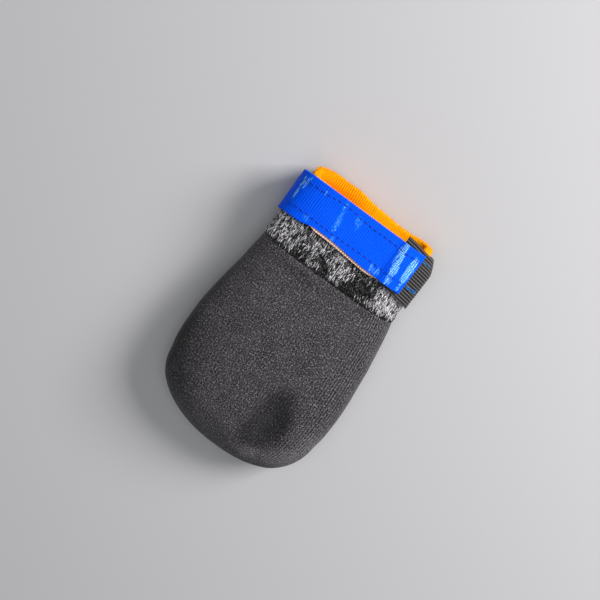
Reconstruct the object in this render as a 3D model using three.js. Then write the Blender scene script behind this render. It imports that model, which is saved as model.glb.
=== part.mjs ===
// A dog boot: a soft pouch for a paw, lying empty on its sole, with the collar held by a band strap.
// Millimetres. +Y runs from the toe to the collar, +X to the right seen from above, +Z up.
// The sole lies on z = 0, and the origin is the middle of the boot's length and width.
// Every piece is a patch of one last (the form of the pouch), laid at its own distance from it.
import * as THREE from "three";
import { mergeVertices } from "three/addons/utils/BufferGeometryUtils.js";

// Sizes of the pouch
const LENGTH = 128.7; // from the collar's cut edge to the tip of the toe
const BALL_WIDTH = 80.8; // across the widest place
const COLLAR_WIDTH = 60.0; // across the collar
const BODY_HEIGHT = 28.0; // top panel over the floor, at its highest
const COLLAR_HEIGHT = 21.7; // collar, from its back wall to its front wall
const COLLAR_LIFT = 3.1; // collar's back wall over the floor, which leaves room for the strap
const TOE_TIP_HEIGHT = 10.0; // tip of the toe over the floor
const TOE_CAP = 25.8; // length over which the outline rounds to the tip
const TOE_CAP_TOP = 33.0; // length over which the top panel comes down to the tip
const TOE_CAP_SOLE = 19.0; // length over which the sole comes up to the tip
const TOE_SQUARE = 2.25; // how blunt the toe is: 2 is an ellipse
const WIDEST_SHARE = 0.45; // height of the widest line, as a share of the section

// Thicknesses and gaps
const WALL = 1.6; // coated knit of the top panel
const SOLE = 2.2; // coated knit and grip layer of the sole
const BAND = 0.9; // pile fabric of the collar band
const BAND_PROUD = 0.4; // how far the band stands out past the top panel
const CUFF = 0.5; // one layer of the folded cuff tape
const ELASTIC = 1.0; // elastic webbing
const TAPE = 1.0; // hook tape
const GAP = 0.3; // between two pieces that touch

// Places along the collar, measured from its cut edge towards the toe
const BAND_END = 34.0; // lower edge of the pile band's seat
const BAND_STEP = 0.9; // length of the step in the wall at that edge
const CUFF_OUTSIDE = 21.6; // cuff tape's depth outside
const CUFF_INSIDE = 14.0; // cuff tape's depth inside
const RIM_DIP = 1.6; // how much lower the front wall's edge is, behind the strap
const RIM_FADE = 18.0; // length over which the waves and the dip of the rim fade out

// Strap: distances round the collar are from the middle of the front, positive to the right
const TAPE_WIDTH = 20.0;
const TAPE_RIGHT = 27.0; // hook tape's end on the front
const TAPE_BACK = -70.0; // its other end, round the left side on the back
const ELASTIC_WIDTH = 24.0;
const ELASTIC_FRONT = 19.5; // elastic's end under the hook tape
const ELASTIC_BACK = 76.0; // its sewn end on the back
const STRAP_FORM = 20.5; // the section that the strap takes its form from, measured from the collar's cut edge
const ELASTIC_LEAN = 8.0; // depth under the collar's edge over which the elastic leans in to the cuff
const TAPE_CLIMB = 4.0; // length over which the tape climbs onto the elastic's end

// Sections of the last. at: share of the length from the collar. spread: 0 at the collar's width, 1 at the ball's.
// shift: middle line to the right, as a share of the ball's width. rise: 0 at the collar's top, 1 at the body's.
// lift: share of the collar's lift. topSquare and soleSquare: 2 is an ellipse, more is squarer.
const SECTIONS = [
  { at: 0.0, spread: -0.05, shift: -0.022, rise: 0.0, lift: 1.0, topSquare: 3.6, soleSquare: 3.8 },
  { at: 0.155, spread: 0.27, shift: -0.015, rise: 0.08, lift: 1.0, topSquare: 3.6, soleSquare: 3.7 },
  { at: 0.24, spread: 0.31, shift: -0.015, rise: 0.22, lift: 0.5, topSquare: 3.3, soleSquare: 3.5 },
  { at: 0.3, spread: 0.44, shift: -0.005, rise: 0.42, lift: 0.0, topSquare: 3.0, soleSquare: 3.4 },
  { at: 0.384, spread: 0.6, shift: 0.0, rise: 0.72, lift: 0.0, topSquare: 2.7, soleSquare: 3.3 },
  { at: 0.44, spread: 0.71, shift: -0.001, rise: 0.86, lift: 0.0, topSquare: 2.6, soleSquare: 3.2 },
  { at: 0.552, spread: 0.91, shift: -0.002, rise: 1.0, lift: 0.0, topSquare: 2.5, soleSquare: 3.2 },
  { at: 0.65, spread: 1.0, shift: -0.001, rise: 1.0, lift: 0.0, topSquare: 2.5, soleSquare: 3.2 },
  { at: 0.749, spread: 0.96, shift: 0.001, rise: 0.9, lift: 0.0, topSquare: 2.5, soleSquare: 3.0 },
  { at: 0.8, spread: 0.86, shift: 0.004, rise: 0.86, lift: 0.0, topSquare: 2.5, soleSquare: 2.8 },
  { at: 0.9, spread: 0.78, shift: 0.015, rise: 0.84, lift: 0.0, topSquare: 2.4, soleSquare: 2.5 },
  { at: 1.0, spread: 0.74, shift: 0.04, rise: 0.84, lift: 0.0, topSquare: 2.3, soleSquare: 2.3 },
];

// Soft dents of the empty top panel. across: share of the ball's width from the middle line, at: share of the length.
// wide and long: half sizes as shares of the ball's width. deep: share of the body's height.
const DENTS = [
  { across: 0.2, at: 0.8, wide: 0.1, long: 0.17, deep: 0.13 },
  { across: 0.01, at: 0.59, wide: 0.12, long: 0.12, deep: 0.02 },
  { across: -0.2, at: 0.36, wide: 0.16, long: 0.1, deep: 0.02 },
];

// Waves of the back wall's edge. across: share of the collar's width from the middle line, wide: half size as a share
// of it, rise: share of the collar's height, out past the cut edge.
const RIM_WAVES = [
  { across: -0.36, wide: 0.13, rise: 0.07 },
  { across: -0.16, wide: 0.1, rise: 0.06 },
  { across: 0.24, wide: 0.16, rise: -0.046 },
  { across: 0.44, wide: 0.08, rise: 0.018 },
];

// Middle line of each strap piece. round: from the middle of the front, as a share of the collar's width. down: from
// the collar's cut edge, as a share of the piece's own width.
const TAPE_LINE = [
  { round: -1.17, down: 0.85 },
  { round: -0.83, down: 0.75 },
  { round: -0.63, down: 0.63 },
  { round: -0.5, down: 0.54 },
  { round: -0.33, down: 0.51 },
  { round: 0, down: 0.51 },
  { round: 0.45, down: 0.515 },
];
const ELASTIC_LINE = [
  { round: 0.325, down: 0.38 },
  { round: 0.5, down: 0.475 },
  { round: 0.63, down: 0.58 },
  { round: 1.27, down: 0.63 },
];

// Fineness of the meshes
const ROUND_SAMPLES = 120; // points that measure a section's way round
const BODY_STEPS = 15; // rows from the band to the toe cap
const CAP_STEPS = 9; // rows over the toe cap
const COLUMNS = 48; // columns of the mesh all the way round, counted from the middle of the sole
const SEAM_COLUMN = 10; // column at which the top panel and the sole meet
const BUNCHING = 0.5; // how much closer the columns are on the flanks, where the form turns
const FLAT_SOLE = 1.02; // stretches the sole's lowest part, so that it lies flat on the floor

const clamp01 = (t) => Math.min(1, Math.max(0, t));
const smooth = (t) => clamp01(t) ** 2 * (3 - 2 * clamp01(t));

// A smooth value from a table: key is the column that it runs along, limited to the table's ends.
function fromTable(table, key, place, column) {
  const last = table.length - 1;
  const p = Math.min(Math.max(place, table[0][key]), table[last][key]);
  let i = 0;
  while (i < last - 1 && p > table[i + 1][key]) i += 1;
  const slope = (k) => {
    const a = table[Math.max(0, k - 1)];
    const b = table[Math.min(last, k + 1)];
    return (b[column] - a[column]) / (b[key] - a[key]);
  };
  const step = table[i + 1][key] - table[i][key];
  const t = (p - table[i][key]) / step;
  const [v0, v1] = [table[i][column], table[i + 1][column]];
  return (
    v0 * (1 + 2 * t) * (1 - t) ** 2 +
    v1 * t * t * (3 - 2 * t) +
    step * (slope(i) * t * (1 - t) ** 2 - slope(i + 1) * t * t * (1 - t))
  );
}

// A quarter of a slightly squared ellipse: 1 until the last stretch of the length, then down to 0 at the tip.
function cap(down, stretch) {
  const t = clamp01((down - (LENGTH - stretch)) / stretch);
  return Math.max(0, 1 - t ** TOE_SQUARE) ** (1 / TOE_SQUARE);
}

// The section of the last at a distance from the collar's cut edge.
function sectionAt(down) {
  const column = (name) => fromTable(SECTIONS, "at", down / LENGTH, name);
  const collarTop = COLLAR_LIFT + COLLAR_HEIGHT;
  const fullTop = collarTop + (BODY_HEIGHT - collarTop) * column("rise");
  const fullSole = COLLAR_LIFT * Math.max(0, column("lift"));
  const top = TOE_TIP_HEIGHT + (fullTop - TOE_TIP_HEIGHT) * cap(down, TOE_CAP_TOP);
  const sole = TOE_TIP_HEIGHT + (fullSole - TOE_TIP_HEIGHT) * cap(down, TOE_CAP_SOLE);
  return {
    middle: BALL_WIDTH * column("shift"),
    half: ((COLLAR_WIDTH + (BALL_WIDTH - COLLAR_WIDTH) * column("spread")) / 2) * cap(down, TOE_CAP),
    top,
    sole,
    widest: sole + WIDEST_SHARE * (top - sole),
    topSquare: column("topSquare"),
    soleSquare: column("soleSquare"),
  };
}

// A point of a section, at an angle from straight down, turning through the right side.
function sectionPoint(section, angle) {
  const s = Math.sin(angle);
  const c = Math.cos(angle);
  const under = c > 0;
  const power = 2 / (under ? section.soleSquare : section.topSquare);
  const x = section.middle + Math.sign(s) * section.half * Math.abs(s) ** power;
  const reach = Math.abs(c) ** power;
  const z = under
    ? section.widest - (section.widest - section.sole) * Math.min(1, reach * FLAT_SOLE)
    : section.widest + (section.top - section.widest) * reach;
  return [x, z];
}

// The section as points with their distance round from the middle of the sole, kept for each place.
const measured = new Map();
function measuredSection(down) {
  if (!measured.has(down)) {
    const section = sectionAt(down);
    const points = [];
    let way = 0;
    for (let i = 0; i <= ROUND_SAMPLES; i += 1) {
      const [x, z] = sectionPoint(section, (2 * Math.PI * i) / ROUND_SAMPLES);
      if (i) way += Math.hypot(x - points[i - 1].x, z - points[i - 1].z);
      points.push({ x, z, way });
    }
    measured.set(down, { section, points, round: way });
  }
  return measured.get(down);
}

const roundAt = (down) => measuredSection(down).round;

// A point of the last. share goes round from the middle of the sole, through the right side, the top and the left.
function lastPoint(down, share) {
  const { section, points, round } = measuredSection(down);
  const way = (share - Math.floor(share)) * round;
  let lo = 0;
  let hi = ROUND_SAMPLES;
  while (hi - lo > 1) {
    const mid = (lo + hi) >> 1;
    if (points[mid].way > way) hi = mid;
    else lo = mid;
  }
  const [a, b] = [points[lo], points[hi]];
  const t = (way - a.way) / Math.max(b.way - a.way, 1e-9);
  const x = a.x + (b.x - a.x) * t;
  const z = a.z + (b.z - a.z) * t;
  const over = smooth((z - section.widest) / Math.max(section.top - section.widest, 1e-6));
  const dent = DENTS.reduce((sum, d) => {
    const across = (x - section.middle - d.across * BALL_WIDTH) / (d.wide * BALL_WIDTH);
    const along = (down - d.at * LENGTH) / (d.long * BALL_WIDTH);
    return sum + d.deep * BODY_HEIGHT * Math.exp(-across * across - along * along);
  }, 0);
  const behind = smooth((section.widest - z) / (0.5 * COLLAR_HEIGHT) + 0.5);
  const wave = RIM_WAVES.reduce((sum, w) => {
    const across = (x - section.middle - w.across * COLLAR_WIDTH) / (w.wide * COLLAR_WIDTH);
    return sum + w.rise * COLLAR_HEIGHT * Math.exp(-across * across);
  }, 0);
  const rise = (wave * behind - RIM_DIP * (1 - behind)) * clamp01(1 - down / RIM_FADE);
  return new THREE.Vector3(x, LENGTH - down + rise, z - dent * over);
}

// A point at a distance outside the last, square to its surface.
function onLast(down, share, outside) {
  const here = lastPoint(down, share);
  if (down > LENGTH - 1e-6) return here.add(new THREE.Vector3(0, -outside, 0));
  const [alongStep, roundStep] = [0.25, 0.006];
  const along = lastPoint(Math.min(down + alongStep, LENGTH), share).sub(lastPoint(down - alongStep, share));
  const round = lastPoint(down, share + roundStep).sub(lastPoint(down, share - roundStep));
  return here.add(round.cross(along).normalize().multiplyScalar(outside));
}

// A closed solid between two grids of points of the same shape. Rows and columns may close on themselves.
function solidBetween(outer, inner, { closedColumns = false, closedRows = false } = {}) {
  const positions = [];
  const triangle = (a, b, c) => {
    const area = b.clone().sub(a).cross(c.clone().sub(a)).length();
    if (area > 1e-7) positions.push(...a.toArray(), ...c.toArray(), ...b.toArray());
  };
  const quad = (a, b, c, d) => {
    triangle(a, b, c);
    triangle(a, c, d);
  };
  const rows = outer.length;
  const columns = outer[0].length;
  const lastRow = closedRows ? rows : rows - 1;
  const lastColumn = closedColumns ? columns : columns - 1;
  for (let i = 0; i < lastRow; i += 1) {
    for (let j = 0; j < lastColumn; j += 1) {
      const [k, m] = [(i + 1) % rows, (j + 1) % columns];
      quad(outer[i][j], outer[k][j], outer[k][m], outer[i][m]);
      if (inner) quad(inner[i][m], inner[k][m], inner[k][j], inner[i][j]);
    }
  }
  if (inner) {
    for (let j = 0; j < lastColumn; j += 1) {
      const m = (j + 1) % columns;
      quad(inner[0][j], outer[0][j], outer[0][m], inner[0][m]);
      quad(outer[rows - 1][j], inner[rows - 1][j], inner[rows - 1][m], outer[rows - 1][m]);
    }
    for (let i = 0; i < rows - 1 && !closedColumns; i += 1) {
      const n = columns - 1;
      quad(outer[i][0], inner[i][0], inner[i + 1][0], outer[i + 1][0]);
      quad(inner[i][n], outer[i][n], outer[i + 1][n], inner[i + 1][n]);
    }
  }
  const geometry = new THREE.BufferGeometry();
  geometry.setAttribute("position", new THREE.Float32BufferAttribute(positions, 3));
  const merged = mergeVertices(geometry, 1e-4);
  merged.computeVertexNormals();
  return merged;
}

const grid = (rows, columns, point) => rows.map((r) => columns.map((c) => point(r, c)));
const steps = (from, to, count) => Array.from({ length: count + 1 }, (_, i) => from + ((to - from) * i) / count);

// Columns round the boot, as shares of the way round. Every piece stands on the same ones, so that gaps stay even.
function columnShare(column) {
  const t = column / COLUMNS;
  return t + (BUNCHING * Math.sin(4 * Math.PI * t)) / (4 * Math.PI);
}
const columnShares = (from, to) => steps(from, to, to - from).map(columnShare);
const SEAM_SHARE = columnShare(SEAM_COLUMN);
const LOOP = columnShares(0, COLUMNS - 1);

// Rows along the boot, from the collar's cut edge over the band's seat and the body to the toe cap.
const COLLAR_ROWS = steps(0, BAND_END, 5);
const BODY_ROWS = steps(BAND_END + BAND_STEP, LENGTH - TOE_CAP, BODY_STEPS);
const CAP_ROWS = steps(0, Math.PI / 2, CAP_STEPS)
  .slice(1)
  .map((angle) => LENGTH - TOE_CAP + TOE_CAP * Math.sin(angle));
const ALL_ROWS = [...COLLAR_ROWS, ...BODY_ROWS, ...CAP_ROWS];

// The panels sit back under the band, and both thin out to the collar's own wall there.
const seat = (down) => smooth((down - BAND_END) / BAND_STEP);
const panelOutside = (down) => (BAND_PROUD - BAND - GAP) * (1 - seat(down));
const COLLAR_INSIDE = -WALL; // inner face of the wall at the collar, on both panels

// The two panels part at the side seam by the gap, which runs on round the toe.
function partAtSeam(point, down, share, way) {
  const fromSeam = Math.abs(Math.min(share - Math.floor(share), 1 - share + Math.floor(share)) - SEAM_SHARE);
  const nearSeam = clamp01(1 - fromSeam / 0.03);
  const nearTip = clamp01((down - 0.97 * LENGTH) / (0.03 * LENGTH));
  point.z += way * (GAP / 2) * Math.max(nearSeam, nearTip);
  return point;
}

function makeUpper() {
  const columns = columnShares(SEAM_COLUMN, COLUMNS - SEAM_COLUMN);
  const face = (outside) => (down, share) => partAtSeam(onLast(down, share, outside(down)), down, share, 1);
  return solidBetween(grid(ALL_ROWS, columns, face(panelOutside)), grid(ALL_ROWS, columns, face(() => -WALL)));
}

function makeSole() {
  const columns = columnShares(-SEAM_COLUMN, SEAM_COLUMN);
  const face = (outside) => (down, share) => partAtSeam(onLast(down, share, outside(down)), down, share, -1);
  const inside = (down) => COLLAR_INSIDE + (WALL - SOLE) * seat(down);
  return solidBetween(grid(ALL_ROWS, columns, face(panelOutside)), grid(ALL_ROWS, columns, face(inside)));
}

function makeBand() {
  const rows = [GAP, ...COLLAR_ROWS.slice(1, -1), BAND_END - GAP];
  const face = (outside) => (down, share) => onLast(down, share, outside);
  return solidBetween(grid(rows, LOOP, face(BAND_PROUD)), grid(rows, LOOP, face(BAND_PROUD - BAND)), {
    closedColumns: true,
  });
}

// The cuff is a tape folded over the collar's edge: its profile is closed, as [down, outside] corners.
const CUFF_SEAT = BAND_PROUD + GAP;
const CUFF_OUT = CUFF_SEAT + CUFF;
const CUFF_IN = COLLAR_INSIDE - GAP - CUFF;

function makeCuff() {
  const fold = -(GAP + CUFF);
  const outsideRows = [CUFF_OUTSIDE, ...COLLAR_ROWS.filter((down) => down < CUFF_OUTSIDE).reverse()];
  const insideRows = [...COLLAR_ROWS.filter((down) => down < CUFF_INSIDE), CUFF_INSIDE];
  const profile = [
    ...outsideRows.map((down) => [down, CUFF_OUT]),
    [fold * 0.8, CUFF_OUT - CUFF * 0.5],
    [fold, CUFF_OUT - CUFF * 1.6],
    [fold, CUFF_IN + CUFF * 1.6],
    [fold * 0.8, CUFF_IN + CUFF * 0.5],
    ...insideRows.map((down) => [down, CUFF_IN]),
    ...insideRows.toReversed().map((down) => [down, CUFF_IN + CUFF]),
    [-GAP, CUFF_IN + CUFF],
    [-GAP, CUFF_SEAT],
    ...outsideRows.toReversed().map((down) => [down, CUFF_SEAT]),
  ];
  const points = grid(profile.reverse(), LOOP, ([down, outside], share) => onLast(down, share, outside));
  return solidBetween(points, null, { closedColumns: true, closedRows: true });
}

// A strap piece runs round the collar between two places, at its own distance from the last. It keeps the form of
// one section over its whole width, so that it stands off where the collar narrows to its edge, or else leans in
// to the collar over the given depth.
function makeStrap({ from, to, width, thick, line, seatAt, lean = 0, bends = [] }) {
  const across = steps(-width / 2, width / 2, 4);
  const girth = roundAt(STRAP_FORM);
  const [start, end, ...between] = [from, to, ...bends].map((round) => 0.5 - round / girth);
  const places = [start, ...LOOP.filter((share) => share > start && share < end), end, ...between];
  places.sort((a, b) => a - b);
  const face = (extra) => (offset, share) => {
    const round = (0.5 - share) * girth;
    const down = width * fromTable(line, "round", round / COLLAR_WIDTH, "down") + offset;
    const outside = seatAt(round) + extra;
    const point = onLast(STRAP_FORM, share, outside);
    if (down < lean) point.lerp(onLast(Math.max(down, 0), share, outside), 1 - Math.max(down, 0) / lean);
    point.y = LENGTH - down;
    return point;
  };
  return solidBetween(grid(across, places, face(thick)), grid(across, places, face(0)));
}

const STRAP_SEAT = CUFF_OUT + GAP;

function makeElastic() {
  return makeStrap({
    from: ELASTIC_BACK,
    to: ELASTIC_FRONT,
    width: ELASTIC_WIDTH,
    thick: ELASTIC,
    line: ELASTIC_LINE,
    seatAt: () => STRAP_SEAT,
    lean: ELASTIC_LEAN,
  });
}

function makeTape() {
  const top = ELASTIC_FRONT - GAP;
  const climb = (round) => smooth((round - top + TAPE_CLIMB) / TAPE_CLIMB);
  return makeStrap({
    from: TAPE_RIGHT,
    to: TAPE_BACK,
    width: TAPE_WIDTH,
    thick: TAPE,
    line: TAPE_LINE,
    seatAt: (round) => STRAP_SEAT + (ELASTIC + GAP) * climb(round),
    bends: steps(top - TAPE_CLIMB, top, 3),
  });
}

const fabric = (color, roughness) => new THREE.MeshStandardMaterial({ color, roughness, metalness: 0 });
const darkGrey = fabric(0x3c3b3e, 0.85);

const pieces = [
  ["upper", makeUpper(), darkGrey],
  ["sole", makeSole(), fabric(0x333235, 0.9)],
  ["pile_band", makeBand(), fabric(0x242326, 0.45)],
  ["cuff_tape", makeCuff(), fabric(0xff8a00, 0.8)],
  ["strap_elastic", makeElastic(), fabric(0x2c2a28, 0.75)],
  ["strap_hook_tape", makeTape(), fabric(0x0a55f0, 0.5)],
];

const boot = new THREE.Group();
for (const [name, geometry, material] of pieces) {
  const mesh = new THREE.Mesh(geometry, material);
  mesh.name = name;
  boot.add(mesh);
}

// The origin goes to the middle of the length and width, at floor level.
const box = new THREE.Box3().setFromObject(boot);
const middle = box.getCenter(new THREE.Vector3());
boot.position.set(-middle.x, -middle.y, 0);

export default boot;
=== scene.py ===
"""The dog boot's looks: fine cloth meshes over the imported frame, their materials, floor, lights and camera.

Lengths are in millimetres here and turn into metres where a mesh is made. A place on the boot is given by
its distance down from the collar's cut edge and by its share of the way round from the middle of the sole,
through the right side, the top and the left side. On the cloth, u is the distance round from the middle of
the front, above zero to the right, and v the distance down.
"""

import math

import bpy
import numpy as np
from mathutils import Matrix, Vector


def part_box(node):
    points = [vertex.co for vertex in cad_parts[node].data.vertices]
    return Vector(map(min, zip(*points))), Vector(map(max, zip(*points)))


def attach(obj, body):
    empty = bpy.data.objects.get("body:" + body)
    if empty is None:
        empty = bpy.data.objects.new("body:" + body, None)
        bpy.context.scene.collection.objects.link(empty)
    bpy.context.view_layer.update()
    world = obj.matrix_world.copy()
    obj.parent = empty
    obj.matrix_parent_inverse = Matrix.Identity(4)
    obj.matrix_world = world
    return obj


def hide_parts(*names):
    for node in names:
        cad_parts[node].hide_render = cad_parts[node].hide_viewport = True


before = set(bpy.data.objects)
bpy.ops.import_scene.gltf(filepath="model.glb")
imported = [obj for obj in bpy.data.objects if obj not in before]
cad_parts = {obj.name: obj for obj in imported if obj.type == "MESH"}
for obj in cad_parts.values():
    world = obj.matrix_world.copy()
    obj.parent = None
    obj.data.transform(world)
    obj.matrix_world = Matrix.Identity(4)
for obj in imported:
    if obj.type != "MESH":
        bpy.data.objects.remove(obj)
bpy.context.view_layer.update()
MM = 0.001
# A millimetre of cloth in a mesh's cloth coordinates
CLOTH_UNIT = 0.01

# Sizes of the pouch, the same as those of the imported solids
LENGTH = 128.7
BALL_WIDTH = 80.8
COLLAR_WIDTH = 60.0
BODY_HEIGHT = 28.0
COLLAR_HEIGHT = 21.7
COLLAR_LIFT = 3.1
TOE_TIP_HEIGHT = 10.0
TOE_CAP = 25.8
TOE_CAP_TOP = 33.0
TOE_CAP_SOLE = 19.0
TOE_SQUARE = 2.25
WIDEST_SHARE = 0.45
SEAM_SHARE = 0.228
FLAT_SOLE = 1.02
WALL = 1.6
SOLE = 2.2
BAND = 0.9
BAND_PROUD = 0.4
CUFF = 0.5
ELASTIC = 1.0
TAPE = 1.0
GAP = 0.3
SEAM_GAP = 0.02
BAND_END = 34.0
BAND_STEP = 0.9
CUFF_OUTSIDE = 21.6
CUFF_INSIDE = 14.0
RIM_DIP = 1.6
RIM_FADE = 18.0
TAPE_WIDTH = 20.0
TAPE_RIGHT = 27.0
TAPE_BACK = -70.0
ELASTIC_WIDTH = 24.0
ELASTIC_FRONT = 19.5
ELASTIC_BACK = 76.0
STRAP_FORM = 20.5
ELASTIC_LEAN = 8.0
TAPE_CLIMB = 4.0

# Pitches and heights of the ribs and weaves, which the meshes and the materials share
KNIT_RIB = 1.5
CUFF_RIB = 1.1
CUFF_RIB_HIGH = 0.09
CUFF_SLANT = 0.12
ELASTIC_RIB = 1.3
ELASTIC_RIB_HIGH = 0.11
ELASTIC_PICK = 1.15
ELASTIC_PICK_HIGH = 0.05
TAPE_RIB = 1.1
TAPE_RIB_HIGH = 0.035
TAPE_TOOTH = 0.14

# Sections of the last. at is a share of the length and shift of the ball's width. spread goes from the
# collar's width to the ball's, rise from the collar's top to the body's and lift from the floor to the
# collar's lift, each from 0 to 1. The last two columns say how square the top and the sole are.
SECTION_COLUMNS = ("at", "spread", "shift", "rise", "lift", "top_square", "sole_square")
SECTIONS = (
    (0.0, -0.05, -0.022, 0.0, 1.0, 3.6, 3.8),
    (0.155, 0.27, -0.015, 0.08, 1.0, 3.6, 3.7),
    (0.24, 0.31, -0.015, 0.22, 0.5, 3.3, 3.5),
    (0.3, 0.44, -0.005, 0.42, 0.0, 3.0, 3.4),
    (0.384, 0.6, 0.0, 0.72, 0.0, 2.7, 3.3),
    (0.44, 0.71, -0.001, 0.86, 0.0, 2.6, 3.2),
    (0.552, 0.91, -0.002, 1.0, 0.0, 2.5, 3.2),
    (0.65, 1.0, -0.001, 1.0, 0.0, 2.5, 3.2),
    (0.749, 0.96, 0.001, 0.9, 0.0, 2.5, 3.0),
    (0.8, 0.86, 0.004, 0.86, 0.0, 2.5, 2.8),
    (0.9, 0.78, 0.015, 0.84, 0.0, 2.4, 2.5),
    (1.0, 0.74, 0.04, 0.84, 0.0, 2.3, 2.3),
)
# Soft dents of the top panel: across, half width and half length are shares of the ball's width, at is a
# share of the length and deep of the body's height. The columns are across, at, wide, long, deep.
DENTS = (
    (0.2, 0.8, 0.1, 0.17, 0.13),
    (0.01, 0.59, 0.12, 0.12, 0.02),
    (-0.2, 0.36, 0.16, 0.1, 0.02),
)
# Waves of the back wall's edge: across and wide as shares of the collar's width, rise as a share of its
# height
RIM_WAVES = ((-0.36, 0.13, 0.07), (-0.16, 0.1, 0.06), (0.24, 0.16, -0.046), (0.44, 0.08, 0.018))
# Middle lines of the strap pieces: distance round from the middle of the front as a share of the collar's
# width, distance down as a share of the piece's own width
TAPE_LINE = (
    (-1.17, 0.85),
    (-0.83, 0.75),
    (-0.63, 0.63),
    (-0.5, 0.54),
    (-0.33, 0.51),
    (0.0, 0.51),
    (0.45, 0.515),
)
ELASTIC_LINE = ((0.325, 0.38), (0.5, 0.475), (0.63, 0.58), (1.27, 0.63))


def smooth(t):
    t = np.clip(t, 0, 1)
    return t * t * (3 - 2 * t)


def ramp(value, start, length):
    """0 up to the start, 1 from a length past it, and smooth between."""
    return smooth((value - start) / length)


def from_table(keys, values, place):
    """A smooth value from a table, limited to the table's ends, for one place or an array of them."""
    keys = np.asarray(keys, float)
    values = np.asarray(values, float)
    last = len(keys) - 1
    place = np.clip(np.asarray(place, float), keys[0], keys[last])
    slopes = np.array(
        [
            (values[min(last, k + 1)] - values[max(0, k - 1)])
            / (keys[min(last, k + 1)] - keys[max(0, k - 1)])
            for k in range(last + 1)
        ]
    )
    i = np.clip(np.searchsorted(keys, place, side="right") - 1, 0, last - 1)
    step = keys[i + 1] - keys[i]
    t = (place - keys[i]) / step
    return (
        values[i] * (1 + 2 * t) * (1 - t) ** 2
        + values[i + 1] * t * t * (3 - 2 * t)
        + step * (slopes[i] * t * (1 - t) ** 2 - slopes[i + 1] * t * t * (1 - t))
    )


def section_at(down):
    """The section of the last at a distance down from the collar's cut edge."""
    column = {}
    for n, name in enumerate(SECTION_COLUMNS[1:], 1):
        column[name] = float(from_table([s[0] for s in SECTIONS], [s[n] for s in SECTIONS], down / LENGTH))

    def cap(stretch):
        t = min(1.0, max(0.0, (down - (LENGTH - stretch)) / stretch))
        return max(0.0, 1 - t**TOE_SQUARE) ** (1 / TOE_SQUARE)

    collar_top = COLLAR_LIFT + COLLAR_HEIGHT
    full_top = collar_top + (BODY_HEIGHT - collar_top) * column["rise"]
    full_sole = COLLAR_LIFT * max(0.0, column["lift"])
    top = TOE_TIP_HEIGHT + (full_top - TOE_TIP_HEIGHT) * cap(TOE_CAP_TOP)
    sole = TOE_TIP_HEIGHT + (full_sole - TOE_TIP_HEIGHT) * cap(TOE_CAP_SOLE)
    return {
        "middle": BALL_WIDTH * column["shift"],
        "half": (COLLAR_WIDTH + (BALL_WIDTH - COLLAR_WIDTH) * column["spread"]) / 2 * cap(TOE_CAP),
        "top": top,
        "sole": sole,
        "widest": sole + WIDEST_SHARE * (top - sole),
        "top_square": column["top_square"],
        "sole_square": column["sole_square"],
    }


# Angles round a section, and the sections already worked out by their distance down
ANGLES = np.linspace(0, 2 * math.pi, 481)
measured = {}


def measured_section(down):
    """The section as points with their distance round from the middle of the sole."""
    if down not in measured:
        s = section_at(down)
        sin, cos = np.sin(ANGLES), np.cos(ANGLES)
        under = cos > 0
        power = 2 / np.where(under, s["sole_square"], s["top_square"])
        x = s["middle"] + np.sign(sin) * s["half"] * np.abs(sin) ** power
        reach = np.abs(cos) ** power
        z = np.where(
            under,
            s["widest"] - (s["widest"] - s["sole"]) * np.minimum(1, reach * FLAT_SOLE),
            s["widest"] + (s["top"] - s["widest"]) * reach,
        )
        way = np.concatenate([[0], np.cumsum(np.hypot(np.diff(x), np.diff(z)))])
        measured[down] = (s, x, z, way)
    return measured[down]


def girth_at(down):
    return float(measured_section(down)[3][-1])


def last_row(down, shares):
    """Points of the last in one section, in the order x, y, z."""
    s, xs, zs, way = measured_section(round(float(down), 4))
    want = np.mod(shares, 1.0) * way[-1]
    x = np.interp(want, way, xs)
    z = np.interp(want, way, zs)
    over = smooth((z - s["widest"]) / max(s["top"] - s["widest"], 1e-6))
    dent = np.zeros_like(x)
    for across, at, wide, long, deep in DENTS:
        a = (x - s["middle"] - across * BALL_WIDTH) / (wide * BALL_WIDTH)
        b = (down - at * LENGTH) / (long * BALL_WIDTH)
        dent += deep * BODY_HEIGHT * np.exp(-a * a - b * b)
    behind = smooth((s["widest"] - z) / (0.5 * COLLAR_HEIGHT) + 0.5)
    wave = np.zeros_like(x)
    for across, wide, rise in RIM_WAVES:
        a = (x - s["middle"] - across * COLLAR_WIDTH) / (wide * COLLAR_WIDTH)
        wave += rise * COLLAR_HEIGHT * np.exp(-a * a)
    fade = min(1.0, max(0.0, 1 - down / RIM_FADE))
    rise = (wave * behind - RIM_DIP * (1 - behind)) * fade
    return np.stack([x, LENGTH - down + rise, z - dent * over], -1)


def last_grid(downs, shares):
    return np.array([last_row(d, s) for d, s in zip(downs, shares)])


# Steps down and round that give the surface's slopes
STEP_DOWN = 0.25
STEP_ROUND = 0.006


def on_last(downs, shares, outside):
    """Points at a distance outside the last, square to its surface. downs has a value per row. shares and
    outside have a value per row and column, or one for all."""
    downs = np.asarray(downs, float)
    shares = np.broadcast_to(shares, (len(downs), np.shape(shares)[-1]))
    here = last_grid(downs, shares)
    ahead = np.minimum(downs + STEP_DOWN, LENGTH)
    along = last_grid(ahead, shares) - last_grid(downs - STEP_DOWN, shares)
    across = last_grid(downs, shares + STEP_ROUND) - last_grid(downs, shares - STEP_ROUND)
    normal = np.cross(across, along)
    size = np.linalg.norm(normal, axis=-1, keepdims=True)
    normal = np.where(size > 1e-9, normal / np.maximum(size, 1e-9), 0)
    normal[downs > LENGTH - 1e-6] = (0, -1, 0)
    return here + normal * np.broadcast_to(outside, shares.shape)[..., None]


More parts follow.
